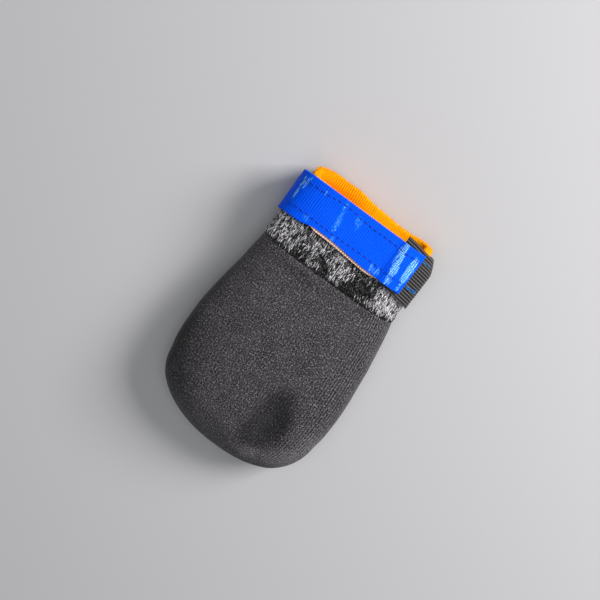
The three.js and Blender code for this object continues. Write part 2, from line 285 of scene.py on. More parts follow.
# The last's place in the frame: its toe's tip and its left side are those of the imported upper
upper_low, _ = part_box("upper")
widest_rows = last_grid(np.linspace(60, 110, 101), [np.linspace(0, 1, 241)] * 101)
left_side = float(widest_rows[..., 0].min())
PLACE = np.array([upper_low.x / MM - left_side, upper_low.y / MM, 0.0])


def to_world(points):
    return (np.asarray(points) + PLACE) * MM


# Cells of the noise's lattice, and the one on which the cloth's middle lies
LATTICE = 256
LATTICE_MIDDLE = 90.5


def cloth_noise(u, v, size, seed, octaves=2):
    """Smooth seeded noise around zero over the cloth, with features of about this size."""
    u, v = np.broadcast_arrays(np.asarray(u, float), np.asarray(v, float))
    total = np.zeros(u.shape)
    weight = 1.0
    for octave in range(octaves):
        lattice = np.random.default_rng(seed * 17 + octave).uniform(-1, 1, (LATTICE, LATTICE))
        a, b = u / size + LATTICE_MIDDLE, v / size + LATTICE_MIDDLE
        i, j = np.floor(a).astype(int), np.floor(b).astype(int)
        s, t = smooth(a - i), smooth(b - j)
        i_next, j_next = (i + 1) % LATTICE, (j + 1) % LATTICE
        i, j = i % LATTICE, j % LATTICE
        near = lattice[i, j] * (1 - s) + lattice[i_next, j] * s
        far = lattice[i, j_next] * (1 - s) + lattice[i_next, j_next] * s
        total += weight * (near * (1 - t) + far * t)
        weight *= 0.5
        size *= 0.5
    return total


# The last near the collar as a table, for threads and fibres at scattered places
FORM_STEP = 0.5
FORM_COLUMNS = 480
form_downs = np.arange(-2.0, BAND_END + 3.0, FORM_STEP)
form_here = on_last(form_downs, np.linspace(0, 1, FORM_COLUMNS + 1), 0.0)
form_out = on_last(form_downs, np.linspace(0, 1, FORM_COLUMNS + 1), 1.0) - form_here


def near_collar(down, share, outside):
    """Points at distances outside the last, at scattered places near the collar."""
    down, share, outside = np.broadcast_arrays(*(np.asarray(v, float) for v in (down, share, outside)))
    row = np.clip((down - form_downs[0]) / FORM_STEP, 0, len(form_downs) - 1.001)
    column = np.mod(share, 1.0) * FORM_COLUMNS
    i, j = np.floor(row).astype(int), np.minimum(np.floor(column).astype(int), FORM_COLUMNS - 1)
    s, t = (row - i)[..., None], (column - j)[..., None]

    def between(table):
        low = table[i, j] * (1 - t) + table[i, j + 1] * t
        high = table[i + 1, j] * (1 - t) + table[i + 1, j + 1] * t
        return low * (1 - s) + high * s

    return between(form_here) + between(form_out) * outside[..., None]


# Meshes
def mesh_object(name, vertices, faces, uvs, material):
    """A mesh from world points in metres, a list of faces and each vertex's place on the cloth."""
    mesh = bpy.data.meshes.new(name)
    mesh.from_pydata(vertices.tolist(), [], faces)
    mesh.validate()
    mesh.materials.append(material)
    layer = mesh.uv_layers.new(name="cloth")
    corner = np.empty(len(mesh.loops), np.int32)
    mesh.loops.foreach_get("vertex_index", corner)
    layer.data.foreach_set("uv", (uvs[corner] * CLOTH_UNIT).astype(np.float32).ravel())
    mesh.polygons.foreach_set("use_smooth", [True] * len(mesh.polygons))
    mesh.update()
    obj = bpy.data.objects.new(name, mesh)
    bpy.context.scene.collection.objects.link(obj)
    return obj


def grid_faces(rows, columns, closed_rows, closed_columns):
    """Faces of a grid of vertices, row by row."""
    i = np.arange(rows if closed_rows else rows - 1)
    j = np.arange(columns if closed_columns else columns - 1)
    i, j = np.meshgrid(i, j, indexing="ij")
    here, below = i * columns, (i + 1) % rows * columns
    j_next = (j + 1) % columns
    return np.stack([here + j, here + j_next, below + j_next, below + j], -1).reshape(-1, 4)


def ring_object(name, points, cloth, material, closed):
    """A closed profile, a row for each of its points, swept along columns. Open ends get caps."""
    rows, columns = points.shape[:2]
    faces = grid_faces(rows, columns, True, closed).tolist()
    vertices = to_world(points.reshape(-1, 3))
    uvs = cloth.reshape(-1, 2)
    if not closed:
        middles = to_world(np.stack([points[:, 0].mean(0), points[:, -1].mean(0)]))
        first_middle = np.full(rows, len(vertices))
        vertices = np.concatenate([vertices, middles])
        uvs = np.concatenate([uvs, [cloth[:, 0].mean(0), cloth[:, -1].mean(0)]])
        here = np.arange(rows) * columns
        below = np.roll(here, -1)
        end = columns - 1
        faces += np.stack([here, below, first_middle], -1).tolist()
        faces += np.stack([below + end, here + end, first_middle + 1], -1).tolist()
    return mesh_object(name, vertices, faces, uvs, material)


def shell_object(name, outer, inner, cloth, material):
    """A sheet with thickness: an outer and an inner grid joined along all four sides."""
    rows, columns = outer.shape[:2]
    around = np.concatenate([outer, inner[:, ::-1]], 1)
    coords = np.concatenate([cloth, cloth[:, ::-1]], 1)
    count = around.shape[1]
    faces = grid_faces(rows, count, False, True).tolist()
    outer_here = np.arange(columns - 1)
    outer_next = outer_here + 1
    inner_here = count - 1 - outer_here
    inner_next = inner_here - 1
    first_row = np.stack([outer_here, inner_here, inner_next, outer_next], -1)
    end_row = np.stack([outer_here, outer_next, inner_next, inner_here], -1) + (rows - 1) * count
    faces += first_row.tolist() + end_row.tolist()
    return mesh_object(name, to_world(around.reshape(-1, 3)), faces, coords.reshape(-1, 2), material)


def tubes_object(name, paths, radii, sides, cloths, material):
    """Many thin threads in one mesh. paths: (threads, points, 3) in millimetres, radii: per thread and
    point, cloths: the cloth coordinates, per thread and point."""
    paths = np.asarray(paths, float)
    threads, points = paths.shape[:2]
    ahead = np.gradient(paths, axis=1)
    ahead /= np.maximum(np.linalg.norm(ahead, axis=-1, keepdims=True), 1e-9)
    helper = np.where(np.abs(ahead[..., 2:3]) > 0.9, [1.0, 0, 0], [0, 0, 1.0])
    side = np.cross(ahead, helper)
    side /= np.maximum(np.linalg.norm(side, axis=-1, keepdims=True), 1e-9)
    up = np.cross(side, ahead)
    turn = np.arange(sides) * 2 * math.pi / sides
    outwards = np.cos(turn)[:, None] * side[:, :, None] + np.sin(turn)[:, None] * up[:, :, None]
    ring = paths[:, :, None] + radii[:, :, None, None] * outwards
    one = grid_faces(points, sides, False, True)
    faces = (one[None] + (np.arange(threads) * points * sides)[:, None, None]).reshape(-1, 4)
    uvs = np.repeat(np.asarray(cloths, float).reshape(-1, 2), sides, 0)
    return mesh_object(name, to_world(ring.reshape(-1, 3)), faces.tolist(), uvs, material)


# Materials
def node(tree, kind, inputs=None, **settings):
    """A shader node with its inputs, each a value or another node's socket, and its settings."""
    made = tree.nodes.new(kind)
    for key, value in settings.items():
        setattr(made, key, value)
    for key, value in (inputs or {}).items():
        if isinstance(value, bpy.types.NodeSocket):
            tree.links.new(value, made.inputs[key])
        else:
            made.inputs[key].default_value = value
    return made


def linear(r, g, b):
    """A colour as seen on the screen, each part 0 to 255, as the shader wants it."""

    def part(level):
        share = level / 255
        return ((share + 0.055) / 1.055) ** 2.4 if level > 10 else share / 12.92

    return (part(r), part(g), part(b), 1.0)


class Cloth:
    """A material being made: cloth coordinates in millimetres, and sums of them that end in a colour and a
    height. The shader's own sockets are given by name, with _ for a space."""

    def __init__(self, name, roughness, **sockets):
        self.material = bpy.data.materials.new(name)
        self.material.use_nodes = True
        self.tree = self.material.node_tree
        self.shader = self.tree.nodes["Principled BSDF"]
        self.shader.inputs["Roughness"].default_value = roughness
        for key, value in sockets.items():
            self.shader.inputs[key.replace("_", " ")].default_value = value
        uv = node(self.tree, "ShaderNodeUVMap", uv_map="cloth").outputs[0]
        self.place = self.scaled(uv, (1 / CLOTH_UNIT, 1 / CLOTH_UNIT, 1 / CLOTH_UNIT))
        split = node(self.tree, "ShaderNodeSeparateXYZ", {0: self.place})
        self.u, self.v = split.outputs[0], split.outputs[1]

    def scaled(self, vector, scale):
        made = node(self.tree, "ShaderNodeVectorMath", {0: vector, 1: scale}, operation="MULTIPLY")
        return made.outputs[0]

    def math(self, operation, a, b=0.0):
        return node(self.tree, "ShaderNodeMath", {0: a, 1: b}, operation=operation).outputs[0]

    def plus(self, a, b):
        return self.math("ADD", a, b)

    def minus(self, a, b):
        return self.math("SUBTRACT", a, b)

    def times(self, a, b):
        return self.math("MULTIPLY", a, b)

    def larger(self, a, b):
        return self.math("MAXIMUM", a, b)

    def noise(self, size, detail=2.0, stretch=(1.0, 1.0), roughness=0.5):
        """Noise with features of about this size in millimetres, stretched along the cloth."""
        vector = self.scaled(self.place, (1 / size / stretch[0], 1 / size / stretch[1], 1.0))
        inputs = {"Vector": vector, "Scale": 1.0, "Detail": detail, "Roughness": roughness}
        return node(self.tree, "ShaderNodeTexNoise", inputs).outputs["Fac"]

    def ribs(self, along, pitch, wobble=0.0):
        """Rounded ribs, 0 to 1, that repeat along u or v with this pitch in millimetres."""
        place = self.u if along == "u" else self.v
        if wobble:
            place = self.plus(place, self.times(self.minus(self.noise(3.0), 0.5), wobble))
        turn = self.math("SINE", self.times(place, 2 * math.pi / pitch))
        return self.plus(self.times(turn, 0.5), 0.5)

    def remap(self, value, low, high, out_low=0.0, out_high=1.0):
        """The value's way from low to high, smooth and limited, as a way from out_low to out_high."""
        inputs = {"Value": value, "From Min": low, "From Max": high, "To Min": out_low, "To Max": out_high}
        return node(self.tree, "ShaderNodeMapRange", inputs, interpolation_type="SMOOTHSTEP").outputs[0]

    def mix(self, share, first, second):
        """The first colour, with this share of the second."""
        inputs = {0: share, 6: first, 7: second}
        return node(self.tree, "ShaderNodeMix", inputs, data_type="RGBA").outputs[2]

    def spot(self, u, v, wide, long):
        """1 in the middle of a soft oval on the cloth, 0 outside it."""
        a = self.math("DIVIDE", self.minus(self.u, u), wide)
        b = self.math("DIVIDE", self.minus(self.v, v), long)
        return self.remap(self.plus(self.times(a, a), self.times(b, b)), 0.0, 1.0, 1.0, 0.0)

    def finish(self, colour, height=None, depth=0.0):
        """The material with its colour and, where it has a height, a relief this deep in millimetres."""
        self.tree.links.new(colour, self.shader.inputs["Base Color"])
        if height is not None:
            inputs = {"Height": height, "Distance": depth * MM, "Strength": 1.0}
            bump = node(self.tree, "ShaderNodeBump", inputs)
            self.tree.links.new(bump.outputs[0], self.shader.inputs["Normal"])
        return self.material


# Painted shade and light on the knit: round, down, half width, half length, strength (above 0: painted light)
KNIT_PAINTED_SHADE_AND_LIGHT = (
    (16.0, 101.0, 11.0, 21.0, -0.95),
    (12.5, 110.0, 10.0, 11.0, -0.55),
    (14.0, 89.0, 7.0, 9.0, -0.3),
    (1.5, 89.0, 4.0, 4.5, -0.2),
    (-12.0, 40.0, 16.0, 4.0, -0.25),
    (-36.0, 102.0, 18.0, 26.0, -0.55),
    (-48.0, 84.0, 13.0, 52.0, -0.7),
    (29.0, 60.0, 9.0, 26.0, 0.04),
    (-2.0, 111.5, 12.0, 3.6, 0.08),
    (22.0, 118.5, 14.0, 6.0, 0.55),
    (33.0, 112.5, 11.0, 8.0, 0.75),
    (39.0, 102.0, 8.0, 11.0, 0.7),
)


def knit_material(name, dark, light, ribbed):
    """Coated knit: a bright speckle on a dark ground, over ribs along the boot that show most on the right
    flank, with painted shade and painted light in the places of the table above."""
    cloth = Cloth(name, 0.8, Specular_IOR_Level=0.25, Sheen_Weight=0.12, Sheen_Roughness=0.5)
    # Painted shade and painted light: the table's spots, summed, darken or lighten the tone and thin or
    # thicken the speckle
    shade = 0.0
    for u, v, wide, long, strength in KNIT_PAINTED_SHADE_AND_LIGHT:
        shade = cloth.plus(shade, cloth.times(cloth.spot(u, v, wide, long), strength))
    shade = cloth.larger(shade, -1.0)
    grain = cloth.noise(0.52, 1.8, roughness=0.68)
    speckle = cloth.remap(cloth.plus(grain, cloth.times(shade, 0.05)), 0.485, 0.665)
    ribs = cloth.ribs("u", KNIT_RIB, 0.5)
    flank = cloth.remap(cloth.u, 22.0, 34.0)
    grooves = cloth.times(cloth.minus(ribs, 0.7), cloth.times(flank, ribbed))
    rib_tone = cloth.plus(grooves, cloth.times(ribs, 0.08))
    broad = cloth.remap(cloth.noise(9.0, 3.0), 0.3, 0.7)
    fleck = cloth.remap(cloth.noise(0.8, 1.0), 0.6, 0.67)
    tone = cloth.plus(cloth.times(speckle, 0.67), rib_tone)
    tone = cloth.plus(tone, cloth.times(fleck, 0.7))
    tone = cloth.plus(tone, cloth.times(broad, 0.06))
    # The painted shade and light scale the tone here
    tone = cloth.times(tone, cloth.plus(1.0, cloth.times(shade, 0.62)))
    colour = cloth.mix(tone, dark, light)
    stitches = cloth.noise(0.4, 1.0, (0.8, 1.6))
    height = cloth.plus(cloth.times(speckle, 0.6), cloth.times(ribs, 0.3))
    height = cloth.plus(height, cloth.times(stitches, 0.2))
    return cloth.finish(colour, height, 0.18)


def pile_material():
    """The pile band's dark ground between its loops."""
    cloth = Cloth("pile_ground", 0.5, Specular_IOR_Level=0.5)
    fine = cloth.remap(cloth.noise(0.45, 3.0, (0.6, 3.0), 0.7), 0.42, 0.7)
    colour = cloth.mix(fine, linear(10, 10, 11), linear(70, 68, 71))
    return cloth.finish(colour, fine, 0.4)


# Painted shade and glints on the pile: round, down, half width, half length, strength (above 0: glints)
PILE_SHADE_AND_GLINTS = (
    (-6.2, 28.0, 3.2, 3.0, -0.7),
    (-3.4, 31.0, 3.4, 3.4, -1.0),
    (15.0, 28.2, 8.0, 4.6, -1.0),
    (9.5, 31.4, 6.0, 3.2, -0.9),
    (-15.0, 30.6, 6.0, 3.6, -0.5),
    (12.0, 23.0, 12.0, 2.5, -0.3),
    (-29.5, 27.5, 8.0, 9.0, 0.45),
    (-20.5, 27.0, 6.0, 7.0, 0.25),
    (1.8, 27.5, 5.0, 7.0, 0.4),
    (28.0, 27.5, 9.5, 9.5, 0.8),
)


def loop_material():
    """Shiny loops, each of one tone: black, or bright as a painted glint. The places above give more glints
    or painted shade.
    """
    cloth = Cloth("pile_loops", 0.3, Specular_IOR_Level=0.7)
    inputs = {"Vector": cloth.place}
    own = node(cloth.tree, "ShaderNodeTexWhiteNoise", inputs, noise_dimensions="2D").outputs["Value"]
    level = cloth.times(cloth.minus(cloth.noise(1.6, 3.0), 0.5), 0.8)
    for u, v, wide, long, strength in PILE_SHADE_AND_GLINTS:
        level = cloth.plus(level, cloth.times(cloth.spot(u, v, wide, long), 0.45 * strength))
    # A loop's bright tone is a painted glint on black pile; the places add glints or painted shade
    bright = cloth.remap(cloth.plus(own, level), 0.66, 0.78)
    return cloth.finish(cloth.mix(bright, linear(5, 4, 5), linear(246, 243, 248)))


def cuff_material():
    """Ribbed orange tape, with painted shade in its rib grooves and deep inside the back wall at its left,
    and a pale cut edge that is partly a painted highlight. Here v is the way along the tape's profile from
    that edge."""
    cloth = Cloth("cuff_orange", 0.75, Specular_IOR_Level=0.06)
    ribs = cloth.ribs("u", CUFF_RIB, 0.25)
    fuzz = cloth.noise(0.5, 3.0)
    # Painted shade at the back wall's left: darker rib grooves here
    shaded_left = cloth.times(cloth.remap(cloth.u, -74.0, -54.0), cloth.remap(cloth.u, -40.0, -30.0, 1.0, 0.0))
    grooves = cloth.mix(shaded_left, linear(252, 142, 0), linear(228, 94, 0))
    colour = cloth.mix(ribs, grooves, linear(255, 184, 0))
    colour = cloth.mix(cloth.remap(fuzz, 0.3, 0.75, 0.0, 0.3), colour, linear(255, 188, 4))
    # Painted shade deep inside the back wall, at its left
    deep = cloth.times(cloth.remap(cloth.v, 27.0, 31.0, 0.0, 0.6), shaded_left)
    colour = cloth.mix(deep, colour, linear(238, 96, 0))
    # The cut edge's pale colour: partly its own, partly a painted highlight where the tape's shadow falls
    cut = cloth.times(cloth.remap(cloth.v, 1.4, 2.2, 1.0, 0.0), cloth.remap(ribs, 0.1, 0.5, 0.15, 1.0))
    colour = cloth.mix(cut, colour, linear(255, 228, 214))
    height = cloth.plus(cloth.times(ribs, 0.6), cloth.times(fuzz, 0.4))
    return cloth.finish(colour, height, 0.25)


def elastic_material():
    """Ribbed black elastic. Here v is the distance from its middle line."""
    cloth = Cloth("elastic_black", 0.6, Specular_IOR_Level=0.3)
    ribs = cloth.ribs("v", ELASTIC_RIB)
    picks = cloth.ribs("u", ELASTIC_PICK)
    weave = cloth.times(ribs, cloth.remap(picks, 0.0, 1.0, 0.5, 1.0))
    tone = cloth.remap(cloth.noise(0.8, 3.0), 0.3, 0.75)
    colour = cloth.mix(weave, linear(4, 3, 4), linear(104, 102, 101))
    colour = cloth.mix(cloth.times(tone, 0.35), colour, linear(40, 38, 38))
    return cloth.finish(colour, weave, 0.3)


# Streaks on the hook tape where its hooks catch the light: round, down, half width, half length, strength
TAPE_STREAKS = (
    (-31.6, 6.0, 0.5, 3.0, 0.8),
    (-31.4, 11.5, 0.5, 3.4, 0.7),
    (-29.9, 5.6, 0.5, 3.2, 0.55),
    (-29.2, 2.6, 0.4, 1.2, 0.4),
    (-21.5, 3.4, 0.35, 1.4, 0.5),
    (-11.6, 3.2, 0.8, 2.6, 0.4),
    (-11.0, 8.0, 0.9, 4.6, 0.36),
    (-10.2, 11.4, 1.0, 4.4, 0.4),
    (-4.0, 4.6, 0.9, 2.4, 0.38),
    (-2.6, 6.2, 0.7, 3.2, 0.34),
    (-22.0, 17.0, 1.2, 2.0, 0.34),
    (-8.4, 17.6, 0.8, 1.8, 0.36),
    (12.0, 17.8, 0.5, 2.4, 0.5),
    (13.2, 18.4, 0.4, 1.6, 0.45),
    (14.8, 17.6, 0.5, 2.4, 0.6),
    (15.9, 18.0, 0.4, 1.6, 0.4),
    (17.8, 5.0, 0.5, 6.2, 0.7),
    (18.9, 3.4, 0.7, 4.2, 1.0),
    (19.6, 10.2, 0.8, 6.4, 1.0),
    (20.9, 13.2, 0.5, 3.6, 0.8),
    (20.2, 18.1, 0.7, 2.2, 0.75),
    (21.6, 18.2, 0.4, 1.8, 0.5),
    (24.4, 8.6, 0.55, 6.4, 0.85),
    (25.4, 10.4, 0.75, 7.4, 1.0),
    (25.4, 18.4, 0.5, 1.4, 0.6),
)
# A streak's soft oval against its row's half width and half length
STREAK_WIDER = 1.7
STREAK_LONGER = 1.25


def hook_tape_material():
    """Blue woven tape with streaks of light, which its hooks break into dots."""
    cloth = Cloth("hook_blue", 0.55, Specular_IOR_Level=0.06)
    ribs = cloth.ribs("u", TAPE_RIB, 0.08)
    threads = cloth.ribs("v", 0.55)
    fine = cloth.noise(0.45, 3.0)
    colour = cloth.mix(ribs, linear(0, 78, 244), linear(0, 90, 255))
    colour = cloth.mix(cloth.remap(cloth.noise(9.0, 1.0), 0.35, 0.7, 0.0, 0.35), colour, linear(0, 80, 250))
    dots = cloth.times(cloth.remap(threads, 0.3, 0.9), cloth.remap(cloth.noise(0.7, 2.0), 0.4, 0.66))
    colour = cloth.mix(cloth.times(dots, 0.5), colour, linear(16, 118, 255))
    rows = cloth.remap(cloth.ribs("v", 0.85, 0.2), 0.15, 0.75, 0.3, 1.0)
    comb = cloth.times(rows, cloth.remap(cloth.ribs("u", 0.8, 0.3), 0.15, 0.7, 0.2, 1.0))
    grain = cloth.times(comb, cloth.remap(cloth.noise(0.45, 2.0), 0.36, 0.58))
    ragged = cloth.minus(cloth.noise(0.8, 3.0, (0.6, 1.8), 0.7), 0.5)
    # From here on u wanders, so that the streaks aren't straight
    shake = cloth.minus(cloth.noise(1.6, 2.0, (1.0, 1.6)), 0.5)
    cloth.u = cloth.plus(cloth.u, cloth.times(shake, 1.6))
    streaks = 0.0
    for u, v, wide, long, strength in TAPE_STREAKS:
        spot = cloth.spot(u, v, wide * STREAK_WIDER, long * STREAK_LONGER)
        streaks = cloth.larger(streaks, cloth.times(spot, strength))
    colour = cloth.mix(cloth.times(streaks, 0.7), colour, linear(0, 148, 255))
    torn = cloth.plus(streaks, cloth.times(ragged, 1.5))
    core = cloth.times(cloth.remap(torn, 0.3, 0.62), cloth.times(grain, cloth.remap(streaks, 0.06, 0.3)))
    colour = cloth.mix(core, colour, linear(196, 246, 255))
    height = cloth.plus(cloth.times(ribs, 0.5), cloth.times(threads, 0.22))
    height = cloth.plus(height, cloth.times(fine, 0.35))
    return cloth.finish(colour, height, 0.1)


def thread_material(name, colour):
    """Plain thread, a little darker in places."""
    cloth = Cloth(name, 0.5, Specular_IOR_Level=0.4)
    tone = cloth.remap(cloth.noise(0.6, 2.0), 0.3, 0.7)
    darker = tuple(level * 0.6 for level in colour[:3]) + (1.0,)
    return cloth.finish(cloth.mix(tone, darker, colour))


knit = knit_material("upper_knit", linear(9, 8, 10), linear(132, 127, 133), 0.34)
sole_knit = knit_material("sole_knit", linear(14, 13, 15), linear(104, 101, 104), 0.08)
pile_ground = pile_material()
pile_loops = loop_material()
cuff_orange = cuff_material()
elastic_black = elastic_material()
hook_blue = hook_tape_material()
navy_thread = thread_material("navy_thread", linear(0, 48, 168))
blue_thread = thread_material("blue_thread", linear(0, 110, 190))


def register(obj, slot, *nodes):
    """Puts a piece on the boot's one body and hides the solids that it stands for. Its material slot is not
    used.
    """
    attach(obj, "root")
    if nodes:
        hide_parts(*nodes)


# The panels of the pouch
def panel_rows(collar, body, cap):
    """Rows from the collar's cut edge to the toe's tip, closer together round the toe."""
    turn = np.linspace(0, math.pi / 2, cap + 1)[1:]
    return np.concatenate(
        [
            np.linspace(0, BAND_END, collar),
            BAND_END + BAND_STEP * np.array([0.25, 0.5, 0.75]),
            np.linspace(BAND_END + BAND_STEP, LENGTH - TOE_CAP, body),
            LENGTH - TOE_CAP + TOE_CAP * np.sin(turn),
        ]
    )


# Creases and soft ridges of the top panel: distance to the right of the middle line, down,
# half width, half length, turn in degrees from the boot's length, and height
CREASES = (
    (26.5, 100.0, 4.0, 17.0, -4.0, 1.0),
    (17.0, 104.0, 5.0, 13.0, 4.0, -0.8),
    (6.0, 100.0, 8.0, 16.0, 6.0, -0.35),
    (-2.0, 113.0, 13.0, 3.2, 4.0, 0.22),
    (0.0, 107.5, 12.0, 2.6, 4.0, -0.2),
    (2.0, 89.0, 3.4, 4.0, 30.0, -0.4),
    (-14.0, 44.0, 13.0, 2.6, -16.0, 0.3),
    (-12.0, 39.5, 14.0, 2.4, -6.0, -0.35),
    (-33.0, 88.0, 3.0, 14.0, -4.0, 0.35),
    (-30.0, 107.5, 2.0, 7.0, -30.0, -0.3),
    (25.0, 58.0, 4.0, 18.0, 3.0, 0.35),
    (-6.0, 60.0, 4.0, 14.0, 42.0, 0.18),
)
# Slow waves of the slack cloth: height, size and seed
SLACK_WAVES = ((0.34, 26.0, 3), (0.1, 8.0, 5))


def body_relief(points, cloth, strength):
    """Listed creases and the slack cloth's slow waves, in millimetres outwards."""
    x, down = points[..., 0], LENGTH - points[..., 1]
    relief = np.zeros(x.shape)
    for across, at, wide, long, turn, height in CREASES:
        cos, sin = math.cos(math.radians(turn)), math.sin(math.radians(turn))
        dx, dy = x - across, down - at
        a = (dx * cos + dy * sin) / wide
        b = (-dx * sin + dy * cos) / long
        relief += height * np.exp(-a * a - b * b)
    for height, size, seed in SLACK_WAVES:
        relief += height * cloth_noise(cloth[..., 0], cloth[..., 1], size, seed)
    return strength * relief


# A panel's cloth coordinates are laid out with the ball's girth
PANEL_GIRTH = 190.0
# The relief starts this far from the band, the toe's tip and the seams
CREASE_START = 6.0
TIP_START = 8.0
# The seams' edges are rounded over this width, by this depth, up to near the toe's tip
EDGE_ROUND = 0.9
EDGE_DEEP = 0.45
EDGE_END = 3.0
# The panels part from each other within this share of the girth and of the length
SEAM_REACH = 0.03


def make_panel(name, first, last, wall, rows, columns, way, strength, material):
    """A panel between two shares of the way round. way is 1 where it lies over the seam and -1 under it."""
    shares = np.linspace(first, last, columns)
    base = last_grid(rows, np.broadcast_to(shares, (len(rows), columns)))
    girths = np.array([girth_at(round(float(d), 4)) for d in rows])
    cloth = np.stack(
        [
            np.broadcast_to((0.5 - shares) * PANEL_GIRTH, (len(rows), columns)),
            np.broadcast_to(rows[:, None], (len(rows), columns)),
        ],
        -1,
    )
    to_tip = (LENGTH - rows)[:, None]
    from_band = (rows - BAND_END - BAND_STEP)[:, None]
    edge = np.minimum(np.abs(shares - first), np.abs(last - shares))[None] * girths[:, None]
    relief = body_relief(base, cloth, strength) * np.clip(from_band / CREASE_START, 0, 1)
    relief = relief * np.clip(to_tip / TIP_START, 0, 1) * np.clip(edge / CREASE_START, 0, 1)
    rounding = EDGE_DEEP * np.clip(1 - edge / EDGE_ROUND, 0, 1) ** 2 * np.clip(to_tip / EDGE_END, 0, 1)
    past_band = ramp(rows, BAND_END, BAND_STEP)[:, None]
    outer = on_last(rows, shares, (BAND_PROUD - BAND - GAP) * (1 - past_band) + relief - rounding)
    inner = on_last(rows, shares, 0.5 * relief - (WALL + (wall - WALL) * past_band))
    near_seam = np.clip(1 - edge / (SEAM_REACH * girths[:, None]), 0, 1)
    near_tip = np.clip(1 - to_tip / (SEAM_REACH * LENGTH), 0, 1)
    for face in (outer, inner):
        face[..., 2] += way * 0.5 * SEAM_GAP * np.maximum(near_seam, near_tip)
    return shell_object(name, outer, inner, cloth, material)


top_rows = panel_rows(16, 96, 34)
top_panel = make_panel("upper_cloth", SEAM_SHARE, 1 - SEAM_SHARE, WALL, top_rows, 170, 1, 1.0, knit)
register(top_panel, "upper_knit", "upper")
under_rows = panel_rows(12, 64, 26)
under_panel = make_panel("sole_cloth", -SEAM_SHARE, SEAM_SHARE, SOLE, under_rows, 100, -1, 0.0, sole_knit)
register(under_panel, "sole_knit", "sole")


# The pile band and its loops. The ground lies this far under the band's face, and no loop's middle line
# comes nearer to the floor than the second value
GROUND_DEEP = 0.12
LOOP_CLEAR = 0.3
LOOP_COUNT = 6400


def make_band():
    """The band's ground, a little bumpy where the cuff leaves it bare."""
    shares = np.linspace(0, 1, 301)[:-1]
    downs = np.linspace(GAP, BAND_END - GAP, 64)
    girth = girth_at(STRAP_FORM)
    u = np.broadcast_to((0.5 - shares) * girth, (len(downs), len(shares)))
    v = np.broadcast_to(downs[:, None], (len(downs), len(shares)))
    bumps = 0.16 * cloth_noise(u, v, 3.2, 11, 3)
    bare = ramp(downs, CUFF_OUTSIDE - 1, 2)[:, None]
    outer = on_last(downs, shares, BAND_PROUD - GROUND_DEEP + bumps * bare)
    inner = on_last(downs, shares, BAND_PROUD - BAND)
    points = np.concatenate([outer, inner[::-1]], 0)
    cloth = np.stack([u, v], -1)
    return ring_object("pile_cloth", points, np.concatenate([cloth, cloth[::-1]], 0), pile_ground, True)


register(make_band(), "loop_pile", "pile_band")


def make_loops():
    """Small slack loops of shiny pile on the band's bare part, nearly all lying along the boot."""
    rng = np.random.default_rng(41)
    girth = girth_at(STRAP_FORM)
    down = rng.uniform(CUFF_OUTSIDE - 2.0, BAND_END - 0.9, LOOP_COUNT)[:, None]
    share = rng.uniform(0, 1, LOOP_COUNT)[:, None]
    length = rng.uniform(1.4, 3.2, LOOP_COUNT)[:, None]
    turn = rng.normal(0, 0.22, LOOP_COUNT)[:, None]
    height = rng.uniform(0.1, 0.6, LOOP_COUNT)[:, None]
    steps = np.linspace(0, 1, 6)[None]
    along = (steps - 0.5) * length
    rows = np.clip(down + along * np.cos(turn), CUFF_OUTSIDE - 2.5, BAND_END + 0.4)
    side = (along * np.sin(turn) + 0.12 * np.sin(steps * 5 + turn * 9)) / girth
    points = near_collar(rows, share + side, BAND_PROUD - 0.2 + height * 4 * steps * (1 - steps))
    points[..., 2] = np.maximum(points[..., 2], LOOP_CLEAR)
    own = np.stack([(0.5 - share) * girth, down], -1)
    radii = rng.uniform(0.1, 0.18, (LOOP_COUNT, 1)) * np.array([0.6, 1, 1.1, 1.1, 1, 0.6])
    return tubes_object("pile_loops", points, radii, 3, np.repeat(own, 6, 1), pile_loops)


# Heights over the last of the cuff tape's two layers, and of the strap's seat on them
CUFF_SEAT = BAND_PROUD + GAP
CUFF_OUT = CUFF_SEAT + CUFF
CUFF_IN = -WALL - GAP - CUFF
STRAP_SEAT = CUFF_OUT + GAP

# The cuff's cut edge shows under the strap between these distances round. It stands up a little there, and
# the hook tape's lower edge is drawn up
EDGE_FROM = -20.0
EDGE_TO = 11.0
EDGE_WIDE = 1.3
EDGE_UP = 0.7
TAPE_DRAWN = 1.7
# Rows of the cuff's profile over its fold and along its inner layer
FOLD_ROWS = 11
INNER_ROWS = 20


def tape_drawn(round_):
    return TAPE_DRAWN * ramp(round_, EDGE_FROM - 5, 9) * (1 - ramp(round_, EDGE_TO - 23, 26))


